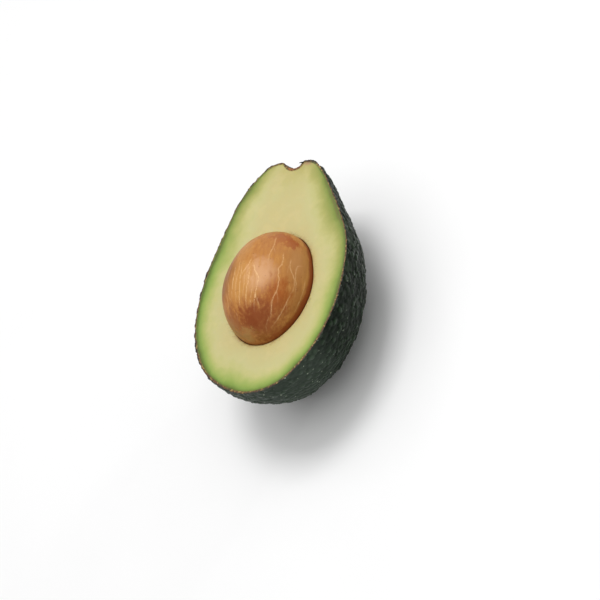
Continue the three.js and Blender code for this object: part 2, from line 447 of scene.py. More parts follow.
def tint(tree, base, mask, strength, second):
    """The base colour with a second laid over it where a mask says, and at most this strongly."""
    return mix(tree, times(tree, mask, strength), base, second)


def rough_noise(tree, place, pitch, detail, roughness=0.5):
    """Cloudy noise of this pitch in millimetres."""
    inputs = {"Vector": place, "Scale": 1 / pitch, "Detail": detail, "Roughness": roughness}
    return add_node(tree, "TexNoise", inputs)


def scattered_cells(tree, place, pitch):
    """Cells round points scattered at about this pitch in millimetres."""
    return add_node(tree, "TexVoronoi", {"Vector": place, "Scale": 1 / pitch, "Randomness": 1.0})


def add_bumps(tree, shader, height, strength, depth):
    """Fine unevenness of the surface, of this depth in millimetres."""
    bumps = add_node(tree, "Bump", {"Height": height, "Strength": strength, "Distance": depth * MM})
    feed(tree, shader, {"Normal": bumps.outputs["Normal"]})


def new_material(name):
    """A material with one shader, and the place on the object in millimetres for its patterns."""
    material = bpy.data.materials.new(name)
    material.use_nodes = True
    tree = material.node_tree
    place = add_node(tree, "TexCoord").outputs["Object"]
    scaled = add_node(tree, "VectorMath", {"Vector": place, "Scale": 1 / MM}, operation="SCALE")
    return material, tree, tree.nodes["Principled BSDF"], scaled.outputs["Vector"]


def pattern_group(name, inputs, outputs):
    """A group with a Place input, these number inputs and outputs, and its two end nodes."""
    group = bpy.data.node_groups.new(name, "ShaderNodeTree")
    group.interface.new_socket("Place", in_out="INPUT", socket_type="NodeSocketVector")
    for socket in inputs:
        group.interface.new_socket(socket, in_out="INPUT", socket_type="NodeSocketFloat")
    for socket in outputs:
        group.interface.new_socket(socket, in_out="OUTPUT", socket_type="NodeSocketFloat")
    return group, group.nodes.new("NodeGroupInput"), group.nodes.new("NodeGroupOutput")


# Soft blotches with ragged edges, as on anything that grew, given their width in millimetres. The more
# of the surface they cover, the lower the noise may be where they start.
BLOTCH_START = 0.74
BLOTCH_START_FALL = 0.5
BLOTCH_SOFTNESS = 0.16
blotches, given, made = pattern_group("blotches", ["Width", "Share"], ["Mask"])
blotch_scale = math_node(blotches, "DIVIDE", 1.0, given.outputs["Width"])
blotch = add_node(
    blotches, "TexNoise",
    {"Vector": given.outputs["Place"], "Scale": blotch_scale, "Detail": 4.0, "Roughness": 0.6},
)
blotch_fall = times(blotches, given.outputs["Share"], BLOTCH_START_FALL)
blotch_low = math_node(blotches, "SUBTRACT", BLOTCH_START, blotch_fall)
blotch_high = math_node(blotches, "ADD", blotch_low, BLOTCH_SOFTNESS)
blotch_mask = fit(blotches, blotch.outputs["Fac"], blotch_low, blotch_high)
blotches.links.new(blotch_mask, made.inputs["Mask"])


def blotched(tree, place, width, share):
    """Mask of blotches of this width, which cover about this share of the surface."""
    inputs = {"Place": place, "Width": width, "Share": share}
    return add_node(tree, "Group", inputs, node_tree=blotches).outputs["Mask"]


# Peel: green-black, with painted shade darker in the creases, a waxy gloss on the pebbles, small pale
# specks and a paler sheen at the blunt end that is a painted reflection of the bright table. Blotches are
# given as their width and share of the surface.
# Green-black, darker where the pebbles are low: painted shade in the creases.
PEEL_AND_CREASE_SHADE_COLOURS = ((0.0, "0e180d"), (0.5, "172614"), (1.0, "20351e"))
CREASE_SHADE_HEIGHTS = (0.25, 1.05)
PEEL_GREEN = "2f4428"
PEEL_GREEN_BLOTCHES = (14.0, 0.45)
PEEL_PURPLE = "1b1a18"
PEEL_PURPLE_BLOTCHES = (9.0, 0.3)
PEEL_TINT = 0.35
SHEEN_COLOUR = "59665a"
LEATHER_PITCH = 0.8
SPECK_COLOUR = "a6b19a"
SPECK_PITCH = 2.1
SPECK_STRAY = (0.45, 0.45, 0.45)
SPECK_SIZES = (-0.05, 0.03)
SPECK_EDGE = (0.15, 0.07)
SPECK_CHANCE = (0.30, 0.40)
SPECK_FAINTEST = 0.45
SPECK_AWAY_FROM_SHEEN = 0.5
BACK_CORK = ("5a3f26", "2e2317")
BACK_CORK_BLOTCHES = (1.2, 0.5)
WORN_BY_LEATHER = 0.4
PEEL_ROUGHNESS = (0.3, 1.2, 0.5, 0.3)
PEEL_WAX = (0.75, 1.35, 0.0, 0.42)
peel, tree, shader, place = new_material("peel")
height = mark(tree, "pebble")
# Painted shade in the creases, by the pebbles' height.
base = ramp(tree, fit(tree, height, *CREASE_SHADE_HEIGHTS), PEEL_AND_CREASE_SHADE_COLOURS)
green = mix(tree, blotched(tree, place, *PEEL_GREEN_BLOTCHES), base, PEEL_GREEN)
base = mix(tree, 0.5, base, green)
base = tint(tree, base, blotched(tree, place, *PEEL_PURPLE_BLOTCHES), PEEL_TINT, PEEL_PURPLE)
# A painted reflection of the bright table, pale and greyish, at the blunt end.
base = tint(tree, base, mark(tree, "painted_sheen"), PEEL_TINT, SHEEN_COLOUR)
leather = rough_noise(tree, place, LEATHER_PITCH, 3.0, 0.55)
speck_stray = {0: leather.outputs["Color"], 1: SPECK_STRAY, 2: place}
speck_place = add_node(tree, "VectorMath", speck_stray, operation="MULTIPLY_ADD").outputs["Vector"]
speck_cells = scattered_cells(tree, speck_place, SPECK_PITCH)
speck_random = add_node(tree, "SeparateColor", {"Color": speck_cells.outputs["Color"]})
speck_size = fit(tree, speck_random.outputs[1], 0.0, 1.0, *SPECK_SIZES)
speck_reach = math_node(tree, "ADD", speck_cells.outputs["Distance"], speck_size)
specks = fit(tree, speck_reach, *SPECK_EDGE)
for strength in (
    fit(tree, speck_random.outputs[0], *SPECK_CHANCE),
    fit(tree, speck_random.outputs[2], 0.0, 1.0, SPECK_FAINTEST, 1.0),
    fit(tree, mark(tree, "painted_sheen"), 0.0, 1.0, SPECK_AWAY_FROM_SHEEN, 1.0),
):
    specks = times(tree, specks, strength)
base = mix(tree, specks, base, SPECK_COLOUR)
cork = mix(tree, blotched(tree, place, *BACK_CORK_BLOTCHES), *BACK_CORK)
base = mix(tree, mark(tree, "scar"), base, cork)
worn = math_node(tree, "MULTIPLY_ADD", leather.outputs["Fac"], WORN_BY_LEATHER, height)
feed(tree, shader, {
    "Base Color": base,
    "Roughness": fit(tree, worn, *PEEL_ROUGHNESS),
    "Coat Weight": fit(tree, worn, *PEEL_WAX),
    "Coat Roughness": 0.10,
    "Specular IOR Level": 0.08,
})
add_bumps(tree, shader, leather.outputs["Fac"], 0.25, 0.10)

# Rim: the cut through the skin, from its dark outside through a dotted reddish-brown line to green.
RIM_COLOURS = (
    (0.0, "161c13"), (0.22, "2b2417"), (0.40, "5f3c22"), (0.62, "7f5932"), (0.80, "716e30"), (1.0, "5f7a2b"),
)
RIM_WANDER_PITCH = 1.1
RIM_WANDER = (0.25, 0.75, -0.25, 0.25)
RIM_NECK_COLOUR = "99924f"
RIM_NECK_DEPTHS = (0.6, 0.85)
RIM_DOT_COLOURS = ((0.0, "2a1a10"), (0.4, "5c361c"), (0.72, "80652c"), (0.97, "b99c58"))
RIM_DOT_PITCH = 0.75
RIM_DOT_STRENGTH = 0.7
RIM_DOT_OUTSIDE = (0.18, 0.4)
RIM_DOT_INSIDE = (0.95, 0.7)
RIM_BARE_COLOURS = ((0.0, "141a12"), (0.5, "33361c"), (1.0, "5c6c28"))
RIM_BARE_BLOTCHES = (4.0, 0.45)
RIM_BARE_STRENGTH = 0.7
RIM_CORK = ("a5662f", "5d3a20")
RIM_CORK_BLOTCHES = (0.9, 0.5)
rim_edge, tree, shader, place = new_material("skin_rim")
wander = rough_noise(tree, place, RIM_WANDER_PITCH, 3.0, 0.65)
across = math_node(tree, "ADD", mark(tree, "rim"), fit(tree, wander.outputs["Fac"], *RIM_WANDER))
base = ramp(tree, across, RIM_COLOURS)
pale = times(tree, mark(tree, "rim_pale"), fit(tree, across, *RIM_NECK_DEPTHS))
base = mix(tree, pale, base, RIM_NECK_COLOUR)
strayed = add_node(tree, "VectorMath", {0: place, 1: wander.outputs["Color"]}, operation="ADD")
dot_cells = scattered_cells(tree, strayed.outputs["Vector"], RIM_DOT_PITCH)
dot_random = add_node(tree, "SeparateColor", {"Color": dot_cells.outputs["Color"]}).outputs[0]
dots = ramp(tree, dot_random, RIM_DOT_COLOURS)
dots_start = fit(tree, across, *RIM_DOT_OUTSIDE)
in_band = times(tree, dots_start, fit(tree, across, *RIM_DOT_INSIDE))
base = tint(tree, base, in_band, RIM_DOT_STRENGTH, dots)
bare = blotched(tree, place, *RIM_BARE_BLOTCHES)
base = tint(tree, base, bare, RIM_BARE_STRENGTH, ramp(tree, across, RIM_BARE_COLOURS))
cork = mix(tree, blotched(tree, place, *RIM_CORK_BLOTCHES), *RIM_CORK)
base = mix(tree, mark(tree, "scar"), base, cork)
feed(tree, shader, {"Base Color": base, "Roughness": 0.5})
add_bumps(tree, shader, wander.outputs["Fac"], 0.5, 0.2)

SKIN_CREASE = math.radians(60)
skin_piece.data.materials.append(peel)
skin_piece.data.materials.append(rim_edge)
finish = np.zeros(len(skin_piece.data.polygons), np.int32)
finish[back_triangles:flake_start] = 1
skin_piece.data.polygons.foreach_set("material_index", finish)
skin_piece.data.set_sharp_from_angle(angle=SKIN_CREASE)
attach(skin_piece, "root")
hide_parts("skin")

# ---- Flesh ----------------------------------------------------------------------------------
# The buttery flesh that fills the skin: green under the skin and pale yellow round the seed. It was
# cut through with a knife, so its face is nearly level, with a soft lip where it sinks to the seed.

SEED_WIDTH = 38.8
SEED_LENGTH = 48.0
SEED_LEAN = math.radians(3)
SEED_RISE = 16.6
SEED_DEPTH = 18.6
SEED_FLAT = 0.035
SEED_FLAT_TURN = math.radians(15)
SEED_FLAT_SPREAD = math.radians(21)
TURN_STEP = 0.001
FLESH_EDGE = 2.4
OUTLINE_POINTS = 4000
# The hollow fits the seed snugly, apart from the side where the seed pulled away.
SNUG_GAP = 0.15
OPEN_GAP = 0.35
OPEN_BEARING = math.radians(60)
OPEN_SHARPNESS = 1.5
# The cut face: how far it runs under the rim, its waves and ripples, and how it sinks at its two edges.
FACE_LOOPS = 44
FACE_LAP = 0.04
FACE_WAVE = 0.10
WAVE_PITCH = 11
RIPPLE_SHARE = 0.35
RIPPLE_PITCH = 3.2
LEVEL_MARGIN = 2
LIP_WIDTH = 1.0
LIP_DROP = 0.3
LIP_SHARPNESS = 2.2
TUCK_WIDTH = 0.5
TUCK_DROP = 0.02
# Its back keeps this gap to the skin, and its back and hollow start this far below the cut.
BACK_GAP = 0.1
BACK_TOP = -0.5
HOLLOW_TOP = -1.2
# Marks for the colours: how far the green reaches in, the greyer neck, and a bruise beside the scar.
STEMWARD_REACH = (45.0, 80.0)
STEMWARD_SLANT = 0.5
NECK_REACH = 11.0
NECK_PALING = 6.0
NECK_PALING_DEPTHS = (0.2, 1.3)
STEMWARD_PALING = 0.35
GREEN_MEAN = 0.88
GREEN_ENDWAYS = 0.10
GREEN_SIDEWAYS = 0.07
BACK_SKIN_DEPTH = 1.5
HOLLOW_SKIN_DEPTH = 20.0
BACK_LIP_DEPTH = 30.0
HOLLOW_LIP_DEPTH = -2.0
BRUISE_PLACE = (7.3, 102.0)
BRUISE_REACH = (2.6, 0.8)
BRUISE_TURN = ((0.97, 0.25), (-0.25, 0.97))
BRUISE_STRENGTH = 0.95

lean_cos = math.cos(SEED_LEAN)
lean_sin = math.sin(SEED_LEAN)


def flattening(turn):
    """The seed is a little flatter on one side: its reach there as a share of an ellipse's reach."""
    return 1 - SEED_FLAT * hump(turn, SEED_FLAT_TURN, SEED_FLAT_SPREAD)


def seed_outline(clearance, shaping=flattening):
    """The seed's outline in the cut, grown by a clearance, as a function of places from 0 to 1."""
    lean = np.array([[lean_cos, lean_sin], [-lean_sin, lean_cos]])

    def spot(turn):
        reach = shaping(turn)
        across = (reach * SEED_WIDTH / 2 + clearance) * np.cos(turn)
        endways = (reach * SEED_LENGTH / 2 + clearance) * np.sin(turn)
        return np.column_stack([across, endways]) @ lean + (SEED_X, SEED_Y)

    def outline(places):
        turn = 2 * np.pi * np.asarray(places) - np.pi / 2
        ways = spot(turn + TURN_STEP) - spot(turn - TURN_STEP)
        return spot(turn), ways / np.linalg.norm(ways, axis=1)[:, None]

    return outline


def hollow_edge(bearing):
    """Where the hollow's edge lies on these bearings, with its wider gap on the open side."""
    away = np.column_stack([np.sin(bearing), -np.cos(bearing)])
    across = away[:, 0] * lean_cos + away[:, 1] * lean_sin
    endways = away[:, 1] * lean_cos - away[:, 0] * lean_sin
    turn = np.arctan2(endways / SEED_LENGTH, across / SEED_WIDTH)
    reach = flattening(turn) / np.hypot(across / (SEED_WIDTH / 2), endways / (SEED_LENGTH / 2))
    opened = (1 + np.cos(bearing - OPEN_BEARING)) / 2
    gap = SNUG_GAP + (OPEN_GAP - SNUG_GAP) * opened ** OPEN_SHARPNESS
    return away * (reach + gap)[:, None] + (SEED_X, SEED_Y)


flesh = Net()
edge_along, edge_angle = along[skin_edge], angle[skin_edge]
face_inset = SKIN_THICKNESS - FACE_LAP
face_edge = dome_points(fruit_outline, -BACK_BULGE, edge_along, edge_angle, -face_inset)
bearing = np.arctan2(face_edge[:, 0] - SEED_X, SEED_Y - face_edge[:, 1])
lip_edge = hollow_edge(bearing)
outline_tree = kdtree.KDTree(OUTLINE_POINTS)
for number, point in enumerate(fruit_outline(np.arange(OUTLINE_POINTS) / OUTLINE_POINTS)[0]):
    outline_tree.insert((*point, 0), number)
outline_tree.balance()

face_loops = []
face_points = []
for share in (1 - np.cos(np.linspace(0, np.pi, FACE_LOOPS))) / 2:
    flat = face_edge[:, :2] * (1 - share) + lip_edge * share
    to_lip = np.linalg.norm(flat - lip_edge, axis=1)
    to_skin = np.linalg.norm(flat - face_edge[:, :2], axis=1)
    waves = each_point(np.column_stack([flat / WAVE_PITCH, np.zeros(len(flat))]), noise.noise)
    ripples = each_point(np.column_stack([flat / RIPPLE_PITCH, np.ones(len(flat))]), noise.noise)
    waves += RIPPLE_SHARE * ripples
    lip = (1 - np.minimum(to_lip / LIP_WIDTH, 1)) ** LIP_SHARPNESS
    tuck = (1 - np.minimum(to_skin / TUCK_WIDTH, 1)) ** 2
    level = FACE_WAVE * waves * soft_step(to_skin, 0, LEVEL_MARGIN) - LIP_DROP * lip - TUCK_DROP * tuck
    loop_points = np.column_stack([flat, level])
    face_points.append(loop_points)
    face_loops.append(flesh.add(loop_points))
for outer, inner in zip(face_loops, face_loops[1:]):
    flesh.bridge(outer, inner, False)
face_points = np.concatenate(face_points)

flesh_places = even_places(fruit_outline, FLESH_EDGE)
flesh_grid = inner_rows(*dome_grid(fruit_outline, BACK_BULGE, flesh_places, FLESH_EDGE))
flesh_back = dome_points(fruit_outline, -BACK_BULGE, *flesh_grid[:2], -SKIN_THICKNESS - BACK_GAP)
flesh_back[:, 2] = np.clip(flesh_back[:, 2], rest_level + SKIN_THICKNESS + BACK_GAP, BACK_TOP)
flesh_rows = flesh.add(flesh_back, flesh_grid[2])
flesh.bridge(face_loops[0], border(flesh_rows), True)
flesh.cover(flesh_rows, False)

hollow = seed_outline(SNUG_GAP)
hollow_bulge = (SEED_DEPTH + SNUG_GAP) / (SEED_WIDTH / 2 + SNUG_GAP)
hollow_places = even_places(hollow, FLESH_EDGE)
hollow_grid = inner_rows(*dome_grid(hollow, hollow_bulge, hollow_places, FLESH_EDGE))
hollow_points = dome_points(hollow, -hollow_bulge, *hollow_grid[:2], 0)
hollow_points[:, 2] = np.minimum(hollow_points[:, 2], HOLLOW_TOP)
hollow_rows = flesh.add(hollow_points, hollow_grid[2])
flesh.bridge(face_loops[-1], border(hollow_rows), False)
flesh.cover(hollow_rows, True)

stemward = soft_step(face_points[:, 1] + STEMWARD_SLANT * face_points[:, 0], *STEMWARD_REACH)
scar_gap = np.linalg.norm(face_points[:, :2] - np.array(SCAR_FLOOR), axis=1)
neck = np.exp(-((scar_gap / NECK_REACH) ** 2))
around = np.tile(bearing, FACE_LOOPS)
skin_depth = np.array([outline_tree.find((x, y, 0))[2] for x, y, _ in face_points])
skin_depth *= GREEN_MEAN + GREEN_ENDWAYS * np.cos(around) + GREEN_SIDEWAYS * np.sin(around)
skin_depth += NECK_PALING * neck * soft_step(skin_depth, *NECK_PALING_DEPTHS)
skin_depth += STEMWARD_PALING * stemward
lip_depth = np.linalg.norm(face_points[:, :2] - np.tile(lip_edge, (FACE_LOOPS, 1)), axis=1)
bruise_gap = (face_points[:, :2] - np.array(BRUISE_PLACE)) @ np.array(BRUISE_TURN)
bruise = BRUISE_STRENGTH * np.exp(-((bruise_gap / np.array(BRUISE_REACH)) ** 2).sum(axis=1))
# The flesh's points are those of its face, then its back, then the hollow.
flesh_counts = (len(face_points), len(flesh_back), len(hollow_points))
flesh_marks = {
    "skin_depth": spread_over(flesh_counts, skin_depth, BACK_SKIN_DEPTH, HOLLOW_SKIN_DEPTH),
    "lip_depth": spread_over(flesh_counts, lip_depth, BACK_LIP_DEPTH, HOLLOW_LIP_DEPTH),
    "stemward": spread_over(flesh_counts, stemward, 0, 0),
    "neck": spread_over(flesh_counts, neck, 0, 0),
    "bruise": spread_over(flesh_counts, bruise, 0, 0),
}
flesh_piece = build_piece("avocado_flesh", flesh, flesh_marks)

# Buttery flesh: green near the skin and pale inside, by its depth below the skin in millimetres. It is
# olive and tanned at the neck, faintly clouded and stained brown in wisps. A thin dark ring at the seed
# and the hollow's wall are partly the coat's brown lining and partly painted shade in the gap round the
# seed.
FLESH_RAMP_DEPTH = 24.0
FLESH_COLOURS = (
    (0.9, "4c5a1d"), (1.5, "6b8131"), (2.3, "839e45"), (3.3, "98ac54"), (4.8, "aeb766"),
    (7.0, "c3c07e"), (9.5, "c9c389"), (14.0, "cabf86"), (24.0, "cdbe82"),
)
DRIFT_PITCH = 16.0
DRIFT = (0.3, 0.7, 0.80, 1.22)
FRAY_PITCH = 3.6
FRAY = (0.3, 0.7, 0.92, 1.08)
OLIVE_TINT = "ffedf9"
OLIVE_DEPTHS = (8.0, 3.0)
TAN_COLOUR = "857650"
TAN_DEPTHS = (2.2, 1.0, 0.0, 0.45)
NECK_COLOUR = "bdaa6a"
NECK_STRENGTH = 0.5
BRUISE_COLOUR = "b0866a"
CLOUD_COLOUR = "dccb92"
CLOUD_BLOTCHES = (7.0, 0.5)
CLOUD_DEPTHS = (4.0, 9.0, 0.1, 1.0)
CLOUD_STRENGTH = 0.20
STAIN_COLOUR = "a9804a"
STAIN_BLOTCHES = (3.5, 0.55)
STAIN_REACH = (2.4, -0.2)
STAIN_STRENGTH = 0.45
WISP_COLOUR = "9a7f45"
WISP_PITCH = 1.3
WISP_EDGE = (0.54, 0.66)
WISP_REACH = (2.8, 0.4)
WISP_STRENGTH = 0.45
LINING_AND_SHADE_COLOUR = "84481f"
LINING_AND_SHADE_REACH = (0.35, -0.15)
SMEAR_PITCH = 0.8
FLESH_CREASE = math.radians(60)
butter, tree, shader, place = new_material("flesh")
drift = rough_noise(tree, place, DRIFT_PITCH, 2.0)
fray = rough_noise(tree, place, FRAY_PITCH, 4.0, 0.6)
stretch = fit(tree, drift.outputs["Fac"], *DRIFT)
ragged = fit(tree, fray.outputs["Fac"], *FRAY)
uneven = times(tree, stretch, ragged)
depth = times(tree, mark(tree, "skin_depth"), uneven)
share = math_node(tree, "DIVIDE", depth, FLESH_RAMP_DEPTH)
base = ramp(tree, share, [(d / FLESH_RAMP_DEPTH, code) for d, code in FLESH_COLOURS])
olive = times(tree, mark(tree, "stemward"), fit(tree, depth, *OLIVE_DEPTHS))
base = mix(tree, olive, base, OLIVE_TINT, "MULTIPLY")
tanned = times(tree, mark(tree, "stemward"), fit(tree, depth, *TAN_DEPTHS))
base = mix(tree, tanned, base, TAN_COLOUR)
base = tint(tree, base, mark(tree, "neck"), NECK_STRENGTH, NECK_COLOUR)
base = mix(tree, mark(tree, "bruise"), base, BRUISE_COLOUR)
cloudy = blotched(tree, place, *CLOUD_BLOTCHES)
cloud = times(tree, cloudy, fit(tree, depth, *CLOUD_DEPTHS))
base = tint(tree, base, cloud, CLOUD_STRENGTH, CLOUD_COLOUR)
lip = mark(tree, "lip_depth")
stain = fit(tree, lip, *STAIN_REACH)
stained = times(tree, stain, blotched(tree, place, *STAIN_BLOTCHES))
base = tint(tree, base, stained, STAIN_STRENGTH, STAIN_COLOUR)
wisp_look = {"Vector": place, "Scale": 1 / WISP_PITCH, "Detail": 3.0, "Distortion": 1.5}
wisps = fit(tree, add_node(tree, "TexNoise", wisp_look).outputs["Fac"], *WISP_EDGE)
wisp_mask = times(tree, wisps, fit(tree, lip, *WISP_REACH))
base = tint(tree, base, wisp_mask, WISP_STRENGTH, WISP_COLOUR)
# Dark brown at the seed's edge and over the hollow: partly the coat's lining, partly painted shade in the
# gap.
base = mix(tree, fit(tree, lip, *LINING_AND_SHADE_REACH), base, LINING_AND_SHADE_COLOUR)
feed(tree, shader, {
    "Base Color": base,
    "Roughness": 0.42,
    "Subsurface Weight": 0.25,
    "Subsurface Radius": (1.0, 0.8, 0.35),
    "Subsurface Scale": 1.2 * MM,
    "Specular IOR Level": 0.35,
})
smear = rough_noise(tree, place, SMEAR_PITCH, 4.0, 0.6)
add_bumps(tree, shader, smear.outputs["Fac"], 0.25, 0.08)
flesh_piece.data.materials.append(butter)
flesh_piece.data.set_sharp_from_angle(angle=FLESH_CREASE)
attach(flesh_piece, "root")
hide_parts("flesh")

# ---- Seed -----------------------------------------------------------------------------------
# The single large seed, whole, half sunk in its hollow. Its thin papery coat is brown, with pale
# strands that run from end to end; it was never cut.

SEED_EDGE = 0.30
SEED_UNDER_EDGE = 1.8
SEED_GROOVES = 7
SEED_GROOVE_DEPTH = 0.15
DENT_PITCH = 13
DENT_DEPTH = 0.25
WRINKLE_PITCHES = (2.0, 9.0, 2.0)
WRINKLE_DEPTH = 0.05
SWELL_HEIGHT = 0.3
SWELL_REACHES = (9, 14, 9)
SWELL_PLACE = (-1.6, 0, 1.2)
RELIEF_FADE = 1.5
# Strands: their width and height, how they sway and thicken and thin like beads, and how their ends fade.
STRAND_WIDTH = 0.155
STRAND_HEIGHT = 0.04
STRAND_STEP = 0.12
KNOT_STEPS = 40
SWAY = 0.017
SWAY_PITCH = 1.6
BEAD_PITCH = 0.7
END_FADES = (2.5, 4.0)
BRANCHES = 2
BRANCH_CHANCE = 0.012
BRANCH_ANGLES = (2.5, 6)
BRANCH_REACHES = (10, 24)
BRANCH_OVERSHOOT = 0.1
BRANCH_STRENGTH = 0.7
# Each strand's strength, then its knots: turn round the seed's length and angle from its stem end, in
# degrees.
STRANDS = (
    (0.80, (108, 80), (108, 94), (111, 107), (114, 116)),
    (1.00, (96, 84), (97, 101), (100, 118), (104, 129)),
    (0.85, (84, 76), (87, 86), (93, 93), (97, 101)),
    (0.90, (84, 88), (85, 101), (88, 114), (91, 131)),
    (1.15, (82, 84), (77, 94), (72, 103), (74, 112), (76, 121), (79, 132)),
    (0.80, (75, 119), (72, 125), (69, 133)),
    (0.60, (103, 74), (101, 88), (104, 104), (107, 122)),
    (0.60, (91, 92), (91, 106), (95, 122)),
    (0.55, (79, 108), (82, 120), (85, 133)),
    (0.50, (116, 88), (118, 102), (119, 118)),
    (0.65, (58, 48), (59, 66), (62, 76), (63, 88)),
    (0.80, (45, 72), (45, 86), (49, 93), (47, 104), (47, 113), (51, 124), (50, 134), (48, 146)),
    (0.65, (34, 78), (35, 90), (29, 98), (26, 108), (29, 120), (33, 140), (41, 153)),
    (0.60, (17, 83), (25, 86), (27, 95), (23, 108), (23, 114)),
    (0.45, (12, 95), (11, 107), (11, 131)),
    (0.40, (51, 139), (54, 148), (56, 157)),
    (0.50, (123, 104), (124, 112), (127, 124)),
    (0.45, (111, 127), (114, 135), (119, 141)),
    (0.70, (140, 60), (146, 90), (142, 120)),
    (0.60, (158, 50), (152, 84), (157, 132)),
    (0.70, (175, 62), (179, 100), (172, 140)),
    (0.70, (-20, 40), (-16, 90), (-24, 140)),
    (0.60, (-55, 50), (-60, 100), (-52, 150)),
    (0.70, (-90, 40), (-84, 84), (-92, 130)),
    (0.60, (-125, 50), (-130, 96), (-122, 140)),
    (0.70, (-160, 60), (-154, 94), (-160, 130)),
)
STRAND_SEED = 5


def seed_point(turn, down):
    """Point of the smooth seed, from its turn round the length and angle from the stem end."""
    height = SEED_RISE if math.sin(turn) > 0 else SEED_DEPTH
    across = SEED_WIDTH / 2 * math.sin(down) * math.cos(turn)
    endways = SEED_LENGTH / 2 * math.cos(down)
    return Vector((across, endways, height * math.sin(down) * math.sin(turn)))


def grow_strand(knots, strength, branches, draws, found):
    """Walks along one smooth strand through its knots, and starts side strands beside it."""
    knots = np.radians(np.array([knots[0], *knots, knots[-1]], float))
    steps = np.linspace(0, len(knots) - 3, KNOT_STEPS * (len(knots) - 3), endpoint=False)
    part = np.floor(steps).astype(int)
    step = (steps - part)[:, None]
    before, start, finish, after = (knots[part + k] for k in range(4))
    curve = start + step * ((finish - before) / 2 + step * (
        before - 2.5 * start + 2 * finish - after / 2
        + step * (1.5 * (start - finish) + (after - before) / 2)))
    points = [seed_point(turn, down) for turn, down in curve]
    runs = np.concatenate([[0], np.cumsum([(b - a).length for a, b in zip(points, points[1:])])])
    for run in np.arange(0, runs[-1], STRAND_STEP):
        sway = SWAY * noise.noise(Vector((run / SWAY_PITCH, strength * 70, 5)))
        turn = np.interp(run, runs, curve[:, 0]) + sway
        down = np.interp(run, runs, curve[:, 1])
        fade = min(run / END_FADES[0], (runs[-1] - run) / END_FADES[1], 1.0)
        beads = 0.85 + 0.7 * noise.noise(Vector((run / BEAD_PITCH, strength * 90, 0)))
        found.append((seed_point(turn, down), strength * fade * beads))
        if branches > 0 and draws.random() < BRANCH_CHANCE:
            side = draws.choice((-1, 1)) * math.radians(draws.uniform(*BRANCH_ANGLES))
            reach = down + math.radians(draws.uniform(*BRANCH_REACHES))
            end = min(reach, curve[-1, 1] + BRANCH_OVERSHOOT)
            grow_branch(turn, down, end, side, strength * BRANCH_STRENGTH, found)
            branches -= 1


def grow_branch(turn, down, end, side, strength, found):
    """A side strand that leaves its parent and then runs beside it."""
    start = down
    while down < end:
        share = (down - start) / (end - start)
        beads = 0.8 + 0.6 * noise.noise(Vector((down * 30, side * 50, 0)))
        along_side = turn + side * math.sin(share * math.pi / 2)
        found.append((seed_point(along_side, down), strength * (1 - share) * beads))
        down += STRAND_STEP / (SEED_LENGTH / 2)


seed = Net()
seed_shape = seed_outline(0)
rise_bulge = SEED_RISE / (SEED_WIDTH / 2)
seed_places = even_places(seed_shape, SEED_EDGE)
seed_along, seed_angle, seed_sizes = dome_grid(seed_shape, rise_bulge, seed_places, SEED_EDGE)
# The strands and patches are placed on the seed without its flat side and lean.
lean_back = np.array([[lean_cos, -lean_sin, 0], [lean_sin, lean_cos, 0], [0, 0, 1]])
round_shape = seed_outline(0, np.ones_like)
round_seed = dome_points(round_shape, rise_bulge, seed_along, seed_angle, 0)
seed_own = (round_seed - np.array([SEED_X, SEED_Y, 0])) @ lean_back

draws = random.Random(STRAND_SEED)
found = []
for strength, *knots in STRANDS:
    grow_strand(knots, strength, BRANCHES, draws, found)
strand_tree = kdtree.KDTree(len(found))
for number, (point, _) in enumerate(found):
    strand_tree.insert(point, number)
strand_tree.balance()


def strand_near(point):
    """Strength of the nearest strand here, fading to 0 beyond its width."""
    _, number, distance = strand_tree.find(point)
    return found[number][1] * math.exp(-((distance / STRAND_WIDTH) ** 2))


strands = each_point(seed_own, strand_near)
swell_gap = np.linalg.norm(seed_own / np.array(SWELL_REACHES) - np.array(SWELL_PLACE), axis=1)
swell = SWELL_HEIGHT * np.exp(-(swell_gap ** 2))
dents = each_point(seed_own / DENT_PITCH, noise.noise)
wrinkles = each_point(seed_own * (1 / np.array(WRINKLE_PITCHES)), noise.noise)
fade = np.sin(seed_angle) * np.sin(2 * np.pi * seed_along)
grooves = -SEED_GROOVE_DEPTH * fade * np.cos(SEED_GROOVES * seed_angle) ** 2
on_edge = soft_step(seed_own[:, 2], 0.0, RELIEF_FADE)
broad_relief = (grooves + DENT_DEPTH * dents * fade + WRINKLE_DEPTH * wrinkles + swell) * on_edge
seed_relief = broad_relief + STRAND_HEIGHT * strands
seed_top = dome_points(seed_shape, rise_bulge, seed_along, seed_angle, seed_relief)
seed_rows = seed.add(seed_top, seed_sizes)
seed.cover(seed_rows, True)

depth_bulge = SEED_DEPTH / (SEED_WIDTH / 2)
under_places = even_places(seed_shape, SEED_UNDER_EDGE)
under_grid = inner_rows(*dome_grid(seed_shape, depth_bulge, under_places, SEED_UNDER_EDGE))
under = dome_points(seed_shape, -depth_bulge, *under_grid[:2], 0)
under_rows = seed.add(under, under_grid[2])
seed.bridge(row_ends(seed_rows), border(under_rows), True)
seed.cover(under_rows, False)

round_under = dome_points(round_shape, -depth_bulge, *under_grid[:2], 0)
under_own = (round_under - np.array([SEED_X, SEED_Y, 0])) @ lean_back
own = np.concatenate([seed_own, under_own])
seed_marks = {
    "strand": np.concatenate([strands, each_point(under_own, strand_near)]),
    "seed_spot": own / np.array([SEED_WIDTH / 2, SEED_LENGTH / 2, SEED_RISE]),
}
seed_piece = build_piece("avocado_seed", seed, seed_marks)
